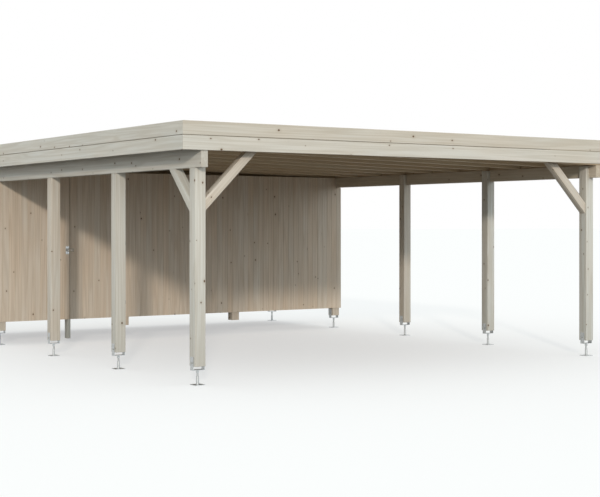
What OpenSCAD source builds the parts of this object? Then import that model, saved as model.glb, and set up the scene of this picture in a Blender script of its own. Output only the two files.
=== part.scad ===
// Double timber carport with a level two-board fascia and a boarded store across its last bay.
// Frame: X runs along the open front, Y runs back towards the store, Z is up.
// The origin is on the ground under the middle of the roof. Lengths are in millimetres.

/* [Frame] */
// Width over the outer faces of the two rows of posts
frame_w = 5500; // [4600:10:6600]
// Distance from one row of posts to the next
bay = 1800; // [1500:10:2400]
// Side of the square posts
post = 120; // [100:5:150]
// Small bevel along the edges of the posts
post_edge = 4; // [2:1:8]
// Height of the posts' lower ends above the ground
post_foot_z = 188; // [165:1:240]
// Height of the underside of the two long beams
beam_z = 2160; // [1900:10:2600]
// Thickness of the long beams
beam_t = 75; // [60:5:90]
// How far the beams run past the front and back posts
beam_tail = 125; // [60:5:200]
// Room between the tongue that each post leaves beside its beam and the rafter above it
tongue_gap = 10; // [5:1:60]

/* [Knee braces] */
// Thickness of the knee braces
brace_t = 90; // [60:5:110]
// Depth of the knee braces, square to their length
brace_h = 90; // [70:5:120]
// Drop from the beams' underside to where the lower edge of a brace meets its post
brace_drop = 432; // [300:1:600]

/* [Roof] */
// Overhang at the sides, from posts to the fascia's outer face
side_over = 218; // [150:1:450]
// Overhang at the front and back, from posts to the fascia's outer face
end_over = 147; // [100:1:450]
// Fall of the roof towards the right, in degrees
roof_pitch = 1.4; // [1:0.1:1.6]
// Height of the rafters' underside above the beams' underside, at the middle of the roof
rafter_up = 215; // [200:1:300]
// Thickness of the rafters
rafter_t = 60; // [45:5:80]
// Depth of the rafters
rafter_h = 120; // [100:5:140]
// Rafters in each bay
rafters_per_bay = 3; // [2:1:4]
// Thickness of the roof boards
deck_t = 19; // [16:1:28]
// Thickness of the roofing felt
felt_t = 4; // [3:1:6]
// Height of each of the two fascia boards
fascia_h = 142; // [120:1:160]
// Thickness of the fascia boards
fascia_t = 20; // [16:1:28]
// Bevel along the outer edges of the fascia boards
fascia_edge = 4; // [2:1:6]
// Height of the fascia's upper edge above the felt at the high side
fascia_lip = 21; // [3:1:30]
// Width of the battens that back the fascia along the sides
batten_w = 40; // [30:5:60]
// Room between a batten and the fascia's lower or upper edge
batten_gap = 12; // [8:1:20]
// Room at the seats that are cut to the fall of the roof
seat_gap = 0.3; // [0.2:0.1:0.8]

/* [Store] */
// Thickness of the wall boards
wall_t = 20; // [18:1:28]
// Height of the wall boards' lower edge
wall_z = 305; // [290:5:400]
// Distance of the two posts in each long wall from the middle
wall_post_x = 895; // [800:5:1000]
// Thickness of the rails and of the door's jamb
rail_t = 45; // [35:5:60]
// Height of the rails and depth of the door's jamb
rail_h = 95; // [70:5:120]
// Distance of the rails from the wall boards' lower and upper edges
rail_inset = 60; // [30:5:150]
// Height of the jamb's lower end above the ground
jamb_z = 42; // [20:1:150]
// Room between the wall boards and the long beams that pass through them
beam_gap = 4; // [2:1:10]

/* [Door] */
// Distance of the seam at the lock side of the door from the middle
seam_x = 1731; // [1600:1:1900]
// Gap between the door and the boards beside it
door_gap = 6; // [6:1:10]
// How far the door laps over the post on its hinge side
door_lap = 20; // [15:1:40]
// How far the wall beside the lock laps over the jamb
jamb_lap = 24; // [15:1:30]
// Thickness of the door's boards
door_t = 15; // [12:1:15]
// Room between the door's top and the wall's upper edge
door_top_gap = 5; // [5:1:20]
// Thickness of the ledges and braces on the door's back
ledge_t = 28; // [20:1:35]
// Height of the ledges
ledge_h = 95; // [70:5:120]
// Room between the ledges and the jamb and post beside them
ledge_gap = 10; // [8:1:20]
// Radius of the hinge barrels
barrel_r = 8; // [7:0.5:10]
// Radius of the hinge pins
pin_r = 4; // [3:0.5:5]
// Room round a hinge pin and round a foot's spindle
pin_gap = 0.08; // [0.05:0.01:0.1]
// Height of one half of a hinge
hinge_h = 50; // [40:5:70]
// Width of one leaf of a hinge
hinge_w = 40; // [30:5:60]
// Thickness of the hinge leaves
hinge_leaf_t = 3; // [2:0.5:4]
// Room between the two halves of a hinge
hinge_play = 0.5; // [0.3:0.1:1]
// Distance of the end hinges from the door's lower and upper edges
hinge_inset = 180; // [120:5:300]

/* [Hasp] */
// Height of the hasp above the wall boards' lower edge
hasp_up = 940; // [800:10:1200]
// Thickness of the strap
hasp_t = 4; // [3:0.5:6]
// Room round the staple's eye and behind the strap
hasp_clear = 6; // [5:1:8]
// Width of the strap's rim round its slot
hasp_rim = 6; // [4:1:10]
// Width of the strap's pad on the door
hasp_pad_w = 44; // [30:1:60]
// Width of the staple's plate
staple_plate_w = 46; // [36:1:60]
// Height of the staple's plate
staple_plate_h = 104; // [80:1:130]
// Thickness of the staple's plate
staple_plate_t = 3; // [2:0.5:5]
// Distance of the staple's plate from the seam beside the door
staple_inset = 12; // [8:1:20]
// Thickness of the staple's eye
staple_t = 8; // [6:1:12]
// Height of the staple's eye
staple_h = 18; // [14:1:24]
// How far the staple's eye stands out from the wall
staple_out = 32; // [28:1:40]

/* [Feet] */
// Side of the square base plates
plate_w = 112; // [100:1:130]
// Thickness of the base plates
plate_t = 6; // [5:0.5:10]
// Distance between the holes of a base plate
hole_pitch = 84; // [70:1:90]
// Diameter of the holes in the base plates and brackets
hole_d = 11; // [9:0.5:13]
// Outer diameter of the foot tube
tube_d = 30; // [28:1:38]
// Height of the foot tube's upper end
tube_z = 86; // [70:1:100]
// Diameter of the threaded spindle
spindle_d = 20; // [16:1:24]
// Width across the flats of the lock nut
nut_af = 30; // [28:1:36]
// Height of the lock nut
nut_h = 18; // [12:1:24]
// Room between the lock nut and the bracket above it
nut_drop = 8; // [0:1:10]
// Height of the bracket's underside
bracket_z = 148; // [135:1:150]
// Thickness of the bracket
bracket_t = 6; // [4:0.5:8]
// Width of the bracket
bracket_w = 62; // [50:1:90]
// Height of the bracket's upper ends
bracket_top_z = 283; // [250:1:288]
// Height of the bolt through the bracket
bolt_z = 220; // [205:1:230]

/* [Hidden] */
$fn = 48;
rows = 5;
store_row = 4;
sides = [-1, 1];

half_w = frame_w / 2;
frame_len = (rows - 1) * bay + post;
front_y = -frame_len / 2;
back_y = frame_len / 2;
roof_half_w = half_w + side_over;
roof_half_len = frame_len / 2 + end_over;
deck_half_w = roof_half_w - fascia_t;
deck_half_len = roof_half_len - fascia_t;

rafter_z = beam_z + rafter_up;
pitch_rise = tan(roof_pitch);
upright_share = 1 / cos(roof_pitch);
felt_above = (rafter_h + deck_t + felt_t) * upright_share;
fascia_top_z = underside_z(-deck_half_w) + felt_above + fascia_lip;
fascia_mid_z = fascia_top_z - fascia_h;
fascia_z = fascia_mid_z - fascia_h;

beam_in = half_w - beam_t;
post_in = half_w - post;
tongue_z = underside_z(beam_in) - tongue_gap;
brace_z = beam_z - brace_drop;
brace_rise = brace_h * sqrt(2);

store_y = front_y + (store_row - 1) * bay;
wall_front_y = store_y - wall_t;
wall_half_w = half_w + wall_t;
// The walls are level and end where the rafters are lowest over them.
wall_top_z = underside_z(wall_half_w);
wall_h = wall_top_z - wall_z;

// The door lies between the jamb on its left and the left-hand wall post on its right.
door_left = -seam_x + door_gap / 2;
door_right = -wall_post_x - post / 2 + door_lap;
door_front_y = wall_front_y;
door_back_y = door_front_y + door_t;
door_h = wall_h - door_top_gap;
jamb_left = -seam_x - jamb_lap;
jamb_right = jamb_left + rail_t;
ledge_left = jamb_right + ledge_gap;
ledge_right = -wall_post_x - post / 2 - ledge_gap;
ledge_levels = [wall_z + rail_inset, wall_z + (door_h - ledge_h) / 2, wall_z + door_h - rail_inset - ledge_h];
hinge_x = door_right + door_gap / 2;
hinge_y = wall_front_y - barrel_r;
hinge_levels = [wall_z + hinge_inset, wall_z + door_h / 2, wall_z + door_h - hinge_inset - 2 * hinge_h];

hasp_z = wall_z + hasp_up;
staple_x = -seam_x - staple_inset - staple_plate_w / 2;

// How far a cutter reaches past what it cuts
cut = 1;

wood = "#d9ccb2";
shaded_wood = "#c8b797";
zinc = "#aeb4b6";
felt = "#3c3e40";

// Height of the rafters' underside at a place across the roof
function underside_z(x) = rafter_z - x * pitch_rise;

// Height of the end of a timber that is cut to the roof's fall and carries a rafter
function seat_z(x) = underside_z(x) - seat_gap;

// Front face of a row of posts
function row_y(row) = front_y + (row - 1) * bay;

// Middle of a post across the carport
function post_x(side) = side * (half_w - post / 2);

// A profile drawn in X and Z, drawn out along Y
module along_y(y, length) {
    translate([0, y + length, 0]) rotate([90, 0, 0]) linear_extrude(length) children();
}

// A profile drawn in Y and Z, drawn out along X
module along_x(x, length) {
    translate([x, 0, 0]) rotate([90, 0, 90]) linear_extrude(length) children();
}

// A rectangle with its four corners cut off
module bevelled_rectangle(w, h, edge) {
    polygon([
        [edge, 0], [w - edge, 0], [w, edge], [w, h - edge],
        [w - edge, h], [edge, h], [0, h - edge], [0, edge]
    ]);
}

// A square timber that stands upright with its edges bevelled
module upright(x, y, z, top) {
    translate([x - post / 2, y, z]) linear_extrude(top - z) bevelled_rectangle(post, post, post_edge);
}

// A post of the outer rows, cut away on its outer side so that the beam sits on a shoulder
module notched_post(side, row) {
    color(wood) difference() {
        upright(post_x(side), row_y(row), post_foot_z, tongue_z);
        translate([side > 0 ? beam_in : -half_w - cut, row_y(row) - cut, beam_z])
            cube([beam_t + cut, post + 2 * cut, tongue_z - beam_z + cut]);
    }
}

// A post inside a long wall, cut to the slope of the rafter that it meets
module wall_post(side, row) {
    x = side * wall_post_x;
    high = seat_z(x - post / 2);
    color(wood) intersection() {
        upright(x, row_y(row), post_foot_z, high);
        along_y(row_y(row), post) polygon([
            [x - post / 2, post_foot_z], [x + post / 2, post_foot_z],
            [x + post / 2, seat_z(x + post / 2)], [x - post / 2, high]
        ]);
    }
}

// The ground plate of a foot with the tube that takes the spindle
module foot_base(side, row) {
    hole = hole_pitch / 2;
    translate([post_x(side), row_y(row) + post / 2, 0]) difference() {
        union() {
            translate([-plate_w / 2, -plate_w / 2, 0]) cube([plate_w, plate_w, plate_t]);
            cylinder(d = tube_d, h = tube_z);
        }
        translate([0, 0, plate_t]) cylinder(d = spindle_d + 2 * pin_gap, h = tube_z);
        for (x = [-hole, hole], y = [-hole, hole])
            translate([x, y, -cut]) cylinder(d = hole_d, h = plate_t + 2 * cut);
    }
}

// The spindle of a foot with its lock nut and the bracket that holds the post between two cheeks
module foot_bracket(side, row) {
    cheek_x = post / 2;
    nut_z = bracket_z - nut_drop - nut_h;
    translate([post_x(side), row_y(row) + post / 2, 0]) difference() {
        union() {
            translate([0, 0, plate_t]) cylinder(d = spindle_d, h = bracket_z - plate_t + bracket_t);
            translate([0, 0, nut_z]) cylinder(d = nut_af / cos(30), h = nut_h, $fn = 6);
            translate([-cheek_x - bracket_t, -bracket_w / 2, bracket_z])
                cube([post + 2 * bracket_t, bracket_w, bracket_t]);
            for (x = [-cheek_x - bracket_t, cheek_x])
                translate([x, -bracket_w / 2, bracket_z]) cube([bracket_t, bracket_w, bracket_top_z - bracket_z]);
        }
        translate([-cheek_x - bracket_t - cut, 0, bolt_z]) rotate([0, 90, 0])
            cylinder(d = hole_d, h = post + 2 * (bracket_t + cut));
    }
}

module foot_bases(side) {
    color(zinc) for (row = [1 : rows]) foot_base(side, row);
}

module foot_brackets(side) {
    color(zinc) for (row = [1 : rows]) foot_bracket(side, row);
}

// A beam along one row of posts, its top planed to the slope of the rafters
module beam(side) {
    outer = side * half_w;
    inner = side * beam_in;
    color(wood) along_y(front_y - beam_tail, frame_len + 2 * beam_tail) polygon([
        [outer, beam_z + post_edge], [outer - side * post_edge, beam_z],
        [inner + side * post_edge, beam_z], [inner, beam_z + post_edge],
        [inner, seat_z(inner)], [outer, seat_z(outer)]
    ]);
}

// A brace across the front, from a corner post up to the first rafter
module front_brace(side) {
    foot = side * post_in;
    slope = side * pitch_rise;
    // Runs along the rafter to where the lower and upper edges meet it
    low_run = (seat_z(foot) - brace_z) / (1 - slope);
    high_run = (seat_z(foot) - brace_z - brace_rise) / (1 - slope);
    color(wood) along_y(front_y + (post - brace_t) / 2, brace_t) polygon([
        [foot, brace_z], [foot, brace_z + brace_rise],
        [foot - side * high_run, seat_z(foot - side * high_run)],
        [foot - side * low_run, seat_z(foot - side * low_run)]
    ]);
}

// A brace along the side, from a corner post up to the beam
module side_brace(side) {
    foot = front_y + post;
    run = beam_z - brace_z;
    color(wood) along_x(side > 0 ? half_w - brace_t : -half_w, brace_t) polygon([
        [foot, brace_z], [foot, brace_z + brace_rise],
        [foot + run - brace_rise, beam_z], [foot + run, beam_z]
    ]);
}

// A flat layer of the roof that follows its fall, from one height above the rafters' underside
module sloping_layer(above, thick, y, length) {
    low = above * upright_share;
    high = (above + thick) * upright_share;
    x = deck_half_w;
    along_y(y, length) polygon([
        [-x, underside_z(-x) + low], [x, underside_z(x) + low],
        [x, underside_z(x) + high], [-x, underside_z(-x) + high]
    ]);
}

module rafters() {
    pitch = bay / rafters_per_bay;
    first = front_y + (post - rafter_t) / 2;
    color(shaded_wood) {
        for (n = [0 : (rows - 1) * rafters_per_bay])
            sloping_layer(0, rafter_h, first + n * pitch, rafter_t);
        for (y = [-deck_half_len, deck_half_len - rafter_t])
            sloping_layer(0, rafter_h, y, rafter_t);
    }
}

module roof_boards() {
    color(shaded_wood) sloping_layer(rafter_h, deck_t, -deck_half_len, 2 * deck_half_len);
}

module roof_felt() {
    color(felt) sloping_layer(rafter_h + deck_t, felt_t, -deck_half_len, 2 * deck_half_len);
}

// Battens behind the side fascia: under the rafters on the high side, on the felt on the low side
module edge_battens() {
    outer = deck_half_w;
    inner = deck_half_w - batten_w;
    felt_seat = felt_above + seat_gap;
    color(shaded_wood) along_y(-deck_half_len, 2 * deck_half_len) {
        polygon([
            [-outer, fascia_z + batten_gap], [-inner, fascia_z + batten_gap],
            [-inner, seat_z(-inner)], [-outer, seat_z(-outer)]
        ]);
        polygon([
            [inner, underside_z(inner) + felt_seat], [outer, underside_z(outer) + felt_seat],
            [outer, fascia_top_z - batten_gap], [inner, fascia_top_z - batten_gap]
        ]);
    }
}

// Section of a fascia board with its outer edges bevelled: thickness along the first axis
module fascia_section() {
    polygon([
        [0, fascia_edge], [fascia_edge, 0], [fascia_t, 0],
        [fascia_t, fascia_h], [fascia_edge, fascia_h], [0, fascia_h - fascia_edge]
    ]);
}

// Front and back boards, which run right across and cover the ends of the side boards
module end_fascia(z) {
    for (turn = [0, 180])
        rotate(turn) translate([0, -roof_half_len, z]) along_x(-roof_half_w, 2 * roof_half_w) fascia_section();
}

module side_fascia(z) {
    for (turn = [0, 180])
        rotate(turn) translate([-roof_half_w, 0, z]) along_y(-deck_half_len, 2 * deck_half_len) fascia_section();
}

module end_upper_fascia() {
    color(wood) end_fascia(fascia_mid_z);
}

module end_lower_fascia() {
    color(wood) end_fascia(fascia_z);
}

module side_upper_fascia() {
    color(wood) side_fascia(fascia_mid_z);
}

module side_lower_fascia() {
    color(wood) side_fascia(fascia_z);
}

// Upright between the left-hand boards and the door, cut to the slope of the rafter above it
module door_jamb() {
    color(wood) along_y(store_y, rail_h) polygon([
        [jamb_left, jamb_z], [jamb_right, jamb_z],
        [jamb_right, seat_z(jamb_right)], [jamb_left, seat_z(jamb_left)]
    ]);
}

// A lower and an upper rail across one bay of a wall, from one place to the next
module rail_pair(from, to) {
    for (z = [wall_z + rail_inset, beam_z - rail_inset - rail_h])
        translate([from, 0, z]) cube([to - from, rail_t, rail_h]);
}

// Rails on the inner side of the boards, between the posts of each wall
module wall_rails() {
    near = wall_post_x - post / 2;
    far = wall_post_x + post / 2;
    side_len = bay - post;
    color(wood) {
        translate([0, store_y, 0]) {
            rail_pair(-post_in, jamb_left);
            rail_pair(-near, near);
            rail_pair(far, post_in);
        }
        translate([0, back_y - rail_t, 0]) {
            rail_pair(-post_in, -far);
            rail_pair(-near, near);
            rail_pair(far, post_in);
        }
        for (side = sides)
            translate([side * (half_w - rail_t / 2) + rail_t / 2, store_y + post, 0]) rotate(90)
                rail_pair(0, side_len);
    }
}

// Boards across a long wall between two places, cut round the beams that pass through it
module cross_boards(from, to, y) {
    color(wood) difference() {
        translate([from, y, wall_z]) cube([to - from, wall_t, wall_h]);
        for (side = sides)
            translate([side > 0 ? beam_in - beam_gap : -wall_half_w - cut, y - cut, beam_z - beam_gap])
                cube([wall_half_w - beam_in + beam_gap + cut, wall_t + 2 * cut, wall_h]);
    }
}

module front_wall_left() {
    cross_boards(-wall_half_w, -seam_x - door_gap / 2, wall_front_y);
}

module front_wall_right() {
    cross_boards(door_right + door_gap, wall_half_w, wall_front_y);
}

module back_wall() {
    cross_boards(-wall_half_w, wall_half_w, back_y);
}

// Boards along one side of the store, on the outer faces of its posts and beam
module side_wall(side) {
    color(wood) translate([side > 0 ? half_w : -wall_half_w, store_y, wall_z])
        cube([wall_t, back_y - store_y, beam_z - wall_z]);
}

module door_boards() {
    color(wood) translate([door_left, door_front_y, wall_z]) cube([door_right - door_left, door_t, door_h]);
}

// Three level ledges that hold the door's boards together
module door_ledges() {
    color(wood) for (z = ledge_levels)
        translate([ledge_left, door_back_y, z]) cube([ledge_right - ledge_left, ledge_t, ledge_h]);
}

// Braces between the ledges that rise from the hinge side
module door_braces() {
    foot = ledge_h;
    color(wood) for (n = [0, 1]) {
        low = ledge_levels[n] + ledge_h;
        high = ledge_levels[n + 1];
        along_y(door_back_y, ledge_t) polygon([
            [ledge_right - foot, low], [ledge_right, low], [ledge_left + foot, high], [ledge_left, high]
        ]);
    }
}

// Lower half of each hinge, with the pin, on the boards beside the door
module hinge_pins() {
    color(zinc) for (z = hinge_levels) translate([hinge_x, hinge_y, z]) {
        cylinder(r = barrel_r, h = hinge_h);
        cylinder(r = pin_r, h = 2 * hinge_h - hinge_play);
        translate([0, barrel_r - hinge_leaf_t, 0]) cube([hinge_w, hinge_leaf_t, hinge_h]);
    }
}

// Upper half of each hinge, on the door
module hinge_leaves() {
    leaf_h = hinge_h - hinge_play;
    color(zinc) for (z = hinge_levels) translate([hinge_x, hinge_y, z + hinge_h + hinge_play]) difference() {
        union() {
            cylinder(r = barrel_r, h = leaf_h);
            translate([-hinge_w, barrel_r - hinge_leaf_t, 0]) cube([hinge_w, hinge_leaf_t, leaf_h]);
        }
        translate([0, 0, -cut]) cylinder(r = pin_r + pin_gap, h = leaf_h + 2 * cut);
    }
}

// Plate and eye of the hasp, on the boards beside the lock side of the door
module hasp_staple() {
    eye = staple_h / 2;
    color(zinc) translate([staple_x, wall_front_y, hasp_z]) {
        translate([-staple_plate_w / 2, -staple_plate_t, -staple_plate_h / 2])
            cube([staple_plate_w, staple_plate_t, staple_plate_h]);
        difference() {
            translate([-staple_t / 2, -staple_out, -eye]) cube([staple_t, staple_out, staple_h]);
            translate([-staple_t / 2 - cut, eye - staple_out, 0]) rotate([0, 90, 0])
                cylinder(d = eye, h = staple_t + 2 * cut);
        }
    }
}

// Strap of the hasp: a pad on the door and a slotted plate that reaches over the staple
module hasp_strap() {
    slot_w = staple_t + 2 * hasp_clear;
    slot_h = staple_h + 2 * hasp_clear;
    strap_h = slot_h + 2 * hasp_rim;
    strap_left = staple_x - slot_w / 2 - hasp_rim;
    pad_left = door_left + door_gap;
    strap_depth = staple_plate_t + hasp_clear + hasp_t;
    color(zinc) translate([0, wall_front_y - strap_depth, hasp_z]) difference() {
        translate([0, 0, -strap_h / 2]) {
            translate([strap_left, 0, 0]) cube([pad_left + hasp_pad_w - strap_left, hasp_t, strap_h]);
            translate([pad_left, 0, 0]) cube([hasp_pad_w, strap_depth, strap_h]);
        }
        translate([staple_x - slot_w / 2, -cut, -slot_h / 2]) cube([slot_w, hasp_t + 2 * cut, slot_h]);
    }
}

for (row = [1 : rows]) {
    notched_post(-1, row);
    notched_post(1, row);
}
foot_bases(-1);  // left_foot_bases
foot_brackets(-1);  // left_foot_brackets
foot_bases(1);  // right_foot_bases
foot_brackets(1);  // right_foot_brackets
beam(-1);  // left_beam
beam(1);  // right_beam
front_brace(-1);  // left_front_brace
front_brace(1);  // right_front_brace
side_brace(-1);  // left_side_brace
side_brace(1);  // right_side_brace
rafters();
roof_boards();
roof_felt();
edge_battens();
end_upper_fascia();
end_lower_fascia();
side_upper_fascia();
side_lower_fascia();
wall_post(-1, store_row);  // front_wall_post_left
wall_post(1, store_row);  // front_wall_post_right
wall_post(-1, rows);  // back_wall_post_left
wall_post(1, rows);  // back_wall_post_right
door_jamb();
wall_rails();
front_wall_left();
front_wall_right();
side_wall(-1);  // left_wall
side_wall(1);  // right_wall
back_wall();
door_boards();
door_ledges();
door_braces();
hinge_pins();
hinge_leaves();
hasp_staple();
hasp_strap();
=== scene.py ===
"""Looks of a timber carport with a boarded store: boards, fasteners, finishes, light and camera."""

import math
import random

import bpy
from bpy.props import FloatProperty, FloatVectorProperty, IntProperty, PointerProperty
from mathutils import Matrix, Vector


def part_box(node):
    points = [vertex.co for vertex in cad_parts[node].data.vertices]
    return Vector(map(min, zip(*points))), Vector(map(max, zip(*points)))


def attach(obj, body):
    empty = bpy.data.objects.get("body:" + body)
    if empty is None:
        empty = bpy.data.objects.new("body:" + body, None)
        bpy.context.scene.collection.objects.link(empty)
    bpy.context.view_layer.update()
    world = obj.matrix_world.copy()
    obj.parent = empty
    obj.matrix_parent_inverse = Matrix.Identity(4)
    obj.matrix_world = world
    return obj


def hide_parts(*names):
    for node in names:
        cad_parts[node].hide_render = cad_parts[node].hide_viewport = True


bl_info = {
    "name": "Timber carport looks",
    "version": (1, 0, 0),
    "blender": (4, 5, 0),
    "location": "3D View > Sidebar > Carport",
    "description": "Boards, fasteners, finishes, light and camera of a timber carport with a store",
    "category": "Object",
}

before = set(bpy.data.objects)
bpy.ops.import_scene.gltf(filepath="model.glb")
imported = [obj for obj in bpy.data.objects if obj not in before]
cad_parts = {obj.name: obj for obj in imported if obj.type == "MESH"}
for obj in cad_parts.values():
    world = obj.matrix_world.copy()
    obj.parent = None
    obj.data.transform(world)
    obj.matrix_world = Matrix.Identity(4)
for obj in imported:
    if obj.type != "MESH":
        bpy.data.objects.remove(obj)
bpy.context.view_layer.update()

SIDES = ("left", "right")
ROWS = range(1, 6)
X, Y, Z = range(3)

# How nearly a direction lies along an axis to count as along it
ALONG = 0.9
# Points closer than this, in metres, are one point
SAME_POINT = 0.00001
# The three hinges are each two leaves high, in metres
LEAF_H = 0.05

# Where the photograph's camera stood and how it saw, in metres, degrees and its 600 by 497 pixels
PHOTO_W = 600
PHOTO_H = 497
FOCAL_PX = 1351.9
AXIS_PX = (317.4, 223.7)
CAMERA_PLACE = (-9.213, -15.415, 1.604)
CAMERA_TURN = 33.97

# Directions in which the lamps stand: low at the front left, as the sun did, and lower at the front right
KEY_FROM = (-0.585, -1.0, 0.327)
FILL_FROM = (0.4, -1.0, 0.15)


def linear(code):
    """An sRGB hex colour as a linear one."""
    channels = [int(code[i:i + 2], 16) / 255 for i in (0, 2, 4)]
    return [c / 12.92 if c <= 0.04045 else ((c + 0.055) / 1.055) ** 2.4 for c in channels]


def size_of(label, what, default):
    """A length that a user would change."""
    return FloatProperty(name=label, description=what, default=default, min=0.0001, unit="LENGTH")


def tint_of(label, what, code):
    """A colour that a user would change."""
    return FloatVectorProperty(
        name=label, description=what, default=linear(code), subtype="COLOR", min=0, max=1
    )


def amount_of(label, what, default, subtype="NONE"):
    """A strength or an angle that a user would change."""
    return FloatProperty(name=label, description=what, default=default, subtype=subtype)


class CarportSizes(bpy.types.PropertyGroup):
    """Sizes of the boards and fasteners."""

    wall_cover: size_of("Wall board", "Width that one wall board shows", 0.088)
    roof_cover: size_of("Roof board", "Width that one roof board shows", 0.121)
    joint: size_of("Joint bevel", "Bevel along the edges of a board, half of the V of a joint", 0.0035)
    tongue: size_of("Tongue", "How far the tongue of a board reaches into the next one", 0.007)
    arris: size_of("Eased edge", "Rounding of the edges of the posts, beams, braces and rafters", 0.003)
    fascia_t: size_of("Fascia board", "Thickness of the fascia boards", 0.02)
    fascia_joint: size_of("Fascia joint", "Open joint between the upper and lower fascia boards", 0.005)
    door_gap: size_of("Door gap", "Extra room beside the door's outer boards", 0.0025)
    beam_gap: size_of("Beam gap", "Room between the wall boards and a beam that passes through them", 0.004)
    felt_cover: size_of("Felt strip", "Width that one strip of felt shows", 0.9)
    felt_lap: size_of("Felt lap", "How far one strip of felt laps over the next", 0.1)
    thread_pitch: size_of("Thread pitch", "Rise of one turn of the thread on a spindle", 0.004)
    bolt_flats: size_of("Bolt head", "Width across the flats of the bolts in the feet", 0.017)
    screw_r: size_of("Screw head", "Radius of the screw heads on hinges and hasp", 0.0045)
    screw_proud: size_of("Screw proud", "How far the fascia's screw heads stand out of its boards", 0.0004)
    seed: IntProperty(name="Board seed", description="Start of the random tones of the boards", default=7)


class CarportColours(bpy.types.PropertyGroup):
    """Colours of the finishes."""

    spruce_pale: tint_of("Spruce, pale", "Early wood of the posts, beams, braces and fascia", "cfd0ca")
    spruce_warm: tint_of("Spruce, warm", "Warmer stretches of that wood", "d0cabe")
    spruce_grain: tint_of("Spruce, grain", "Late wood of the posts, beams, braces and fascia", "b4ac9c")
    wall_pale: tint_of("Wall, pale", "Early wood of the wall boards", "d4cbbd")
    wall_warm: tint_of("Wall, warm", "Warmer wall boards", "d2bfa9")
    wall_grain: tint_of("Wall, grain", "Late wood of the wall boards", "b3a08a")
    # The roof tints are darker and warmer than the spruce's: partly the wood's own colour, partly painted
    # warm shade for the timbers under the roof, which lie in shade
    roof_pale: tint_of("Roof, pale", "Early wood under the roof", "c0b095")
    roof_warm: tint_of("Roof, warm", "Warmer stretches under the roof", "bba485")
    roof_grain: tint_of("Roof, grain", "Late wood under the roof", "a28a68")
    knot: tint_of("Knots", "Heart of the knots", "5f4630")
    zinc: tint_of("Zinc", "Hot-dip galvanised steel", "c3c6c6")
    # Dull and brownish: partly weathered zinc, partly painted shade, as the door's strap sits in shade beside
    # the shaded wall
    shaded_weathered: tint_of("Weathered zinc", "Hinges and strap of the door", "948a7c")
    plated: tint_of("Plated steel", "Bolts and screws", "b9bab6")
    felt: tint_of("Felt", "Mineral grit of the roofing felt", "55585a")


class CarportStage(bpy.types.PropertyGroup):
    """Light and floor."""

    sky: amount_of("Surround", "Strength of the even light from all round", 1.0)
    sky_tint: tint_of("Surround tint", "Colour of the even light on the timber", "f6fdff")
    key: amount_of("Key lamp", "Strength of the broad lamp at the front left", 1.3)
    key_spread: amount_of("Key spread", "Angle that the key lamp fills, for soft shadows", 0.06, "ANGLE")
    key_tint: tint_of("Key tint", "Colour of the key lamp", "fff4e8")
    fill: amount_of("Fill lamp", "Strength of the low, broad lamp at the front right", 0.32)
    fill_spread: amount_of("Fill spread", "Angle that the fill lamp fills", 0.45, "ANGLE")
    fill_tint: tint_of("Fill tint", "Colour of the fill lamp", "e6f4ff")
    floor_pale: tint_of("Floor", "Floor as the camera sees it", "f4f4f2")
    floor_bounce: tint_of("Floor bounce", "Floor as it lights what stands on it", "8d8a87")


def set_inputs(material, node, inputs):
    """Sets a node's inputs to values, or joins them to other nodes' outputs."""
    for key, value in inputs.items():
        if isinstance(value, bpy.types.NodeSocket):
            material.node_tree.links.new(value, node.inputs[key])
        else:
            node.inputs[key].default_value = value


def add_node(material, kind, inputs=None, **settings):
    """A shader node with its settings and inputs."""
    node = material.node_tree.nodes.new("ShaderNode" + kind)
    for name, value in settings.items():
        setattr(node, name, value)
    set_inputs(material, node, inputs or {})
    return node


def new_material(name):
    """An empty material and its Principled shader."""
    material = bpy.data.materials.new(name)
    material.use_nodes = True
    shader = material.node_tree.nodes["Principled BSDF"]
    return material, shader


# Places of the colours in a Mix node
MIX_A, MIX_B, MIX_OUT = 6, 7, 2


def blend_colours(material, share, first, second):
    """Output of a mix of two colours, each a tint or another node's output."""
    values = [c if isinstance(c, bpy.types.NodeSocket) else (*c, 1) for c in (first, second)]
    mix = add_node(material, "Mix", {0: share, MIX_A: values[0], MIX_B: values[1]}, data_type="RGBA")
    return mix.outputs[MIX_OUT]


def calculate(material, operation, *values, kind="Math"):
    """Output of a sum on numbers, or on vectors."""
    return add_node(material, kind, dict(enumerate(values)), operation=operation).outputs[0]


def ranged(material, value, span, levels, **settings):
    """Output that goes from one level to another while a value crosses a span."""
    inputs = dict(enumerate((value, *span, *levels)))
    return add_node(material, "MapRange", inputs, **settings).outputs[0]


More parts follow.
